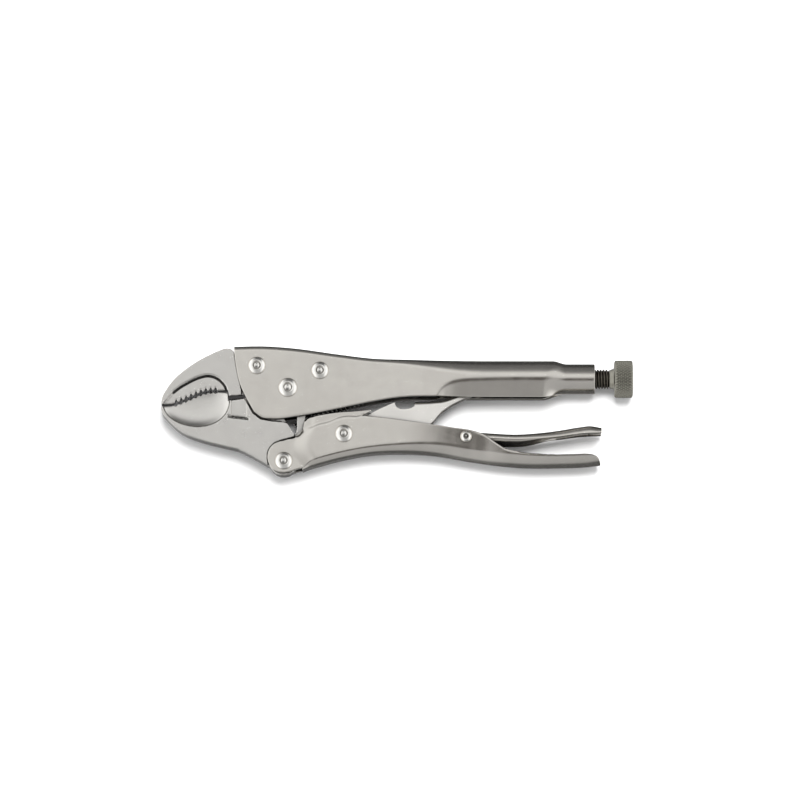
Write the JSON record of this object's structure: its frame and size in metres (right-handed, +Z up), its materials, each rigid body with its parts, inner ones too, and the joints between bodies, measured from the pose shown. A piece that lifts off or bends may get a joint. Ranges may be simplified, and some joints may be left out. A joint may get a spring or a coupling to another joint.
{
  "type": "locking pliers",
  "caption": "Locking pliers with toothed curved jaws, a wire cutter, folded steel handles, a toggle link, a release lever and a knurled adjusting screw.",
  "frame": {"origin": "middle of the underside of the closed tool's bounding box, as it lies on its side", "axes": "+X from the jaw tips to the adjusting knob, +Y from the lower handle to the upper handle, +Z up through the thickness of the tool"},
  "size_m": [0.249, 0.069, 0.0198],
  "materials": {
    "nickel_sheet": "satin nickel plate on pressed sheet steel",
    "nickel_forging": "satin nickel plate on forged steel",
    "rivet_nickel": "bright nickel plate",
    "screw_steel": "dark oiled thread",
    "knob_steel": "grey knurled steel",
    "spring_steel": "plain spring steel"
  },
  "bodies": {
    "upper_handle": {"upper_handle": "nickel_sheet", "upper_jaw": "nickel_forging", "jaw_rivet_front": "rivet_nickel", "jaw_rivet_rear": "rivet_nickel", "jaw_pivot_rivet": "rivet_nickel", "tension_spring": "spring_steel"},
    "lower_jaw": {"lower_jaw": "nickel_forging", "lever_pivot_rivet": "rivet_nickel"},
    "lower_handle": {"lower_handle": "nickel_sheet", "link_rivet": "rivet_nickel", "release_rivet": "rivet_nickel"},
    "toggle_link": {"toggle_link": "nickel_sheet"},
    "release_lever": {"release_lever": "nickel_sheet"},
    "stop_ring": {"screw_stop_ring": "spring_steel"},
    "adjusting_screw": {"adjusting_screw": "screw_steel", "screw_knob": "knob_steel"}
  },
  "joints": [
    {"name": "handle_open", "type": "hinge", "parent": "lower_jaw", "child": "lower_handle", "pos_m": [-0.0598, -0.02688, 0.0099], "axis": [0, 0, -1], "range_deg": [0, 72.5]},
    {"name": "jaw_open", "type": "hinge", "parent": "upper_handle", "child": "lower_jaw", "pos_m": [-0.0577, 0.01212, 0.0099], "axis": [0, 0, 1], "range_deg": [0, 24], "deforming": ["tension_spring"]},
    {"name": "link_swing", "type": "hinge", "parent": "upper_handle", "child": "toggle_link", "pos_m": [0.0503, 0.01752, 0.0099], "axis": [0, 0, 1], "range_deg": [0, 21.1]},
    {"name": "release_press", "type": "hinge", "parent": "lower_handle", "child": "release_lever", "pos_m": [0.0363, -0.01408, 0.0099], "axis": [0, 0, -1], "range_deg": [0, 8]},
    {"name": "screw_travel", "type": "slide", "parent": "upper_handle", "child": "stop_ring", "axis": [1, 0, 0], "range_m": [0, 0.016]},
    {"name": "screw_turn", "type": "hinge", "parent": "stop_ring", "child": "adjusting_screw", "pos_m": [0.0603, 0.01752, 0.0099], "axis": [1, 0, 0], "range_deg": [0, 3840]}
  ],
  "couplings": [
    {"joint": "jaw_open", "follows": "handle_open", "ratio": 0.33037},
    {"joint": "link_swing", "follows": "handle_open", "ratio": 0.28948},
    {"joint": "screw_turn", "follows": "screw_travel", "rad_per_m": 4188.8}
  ]
}
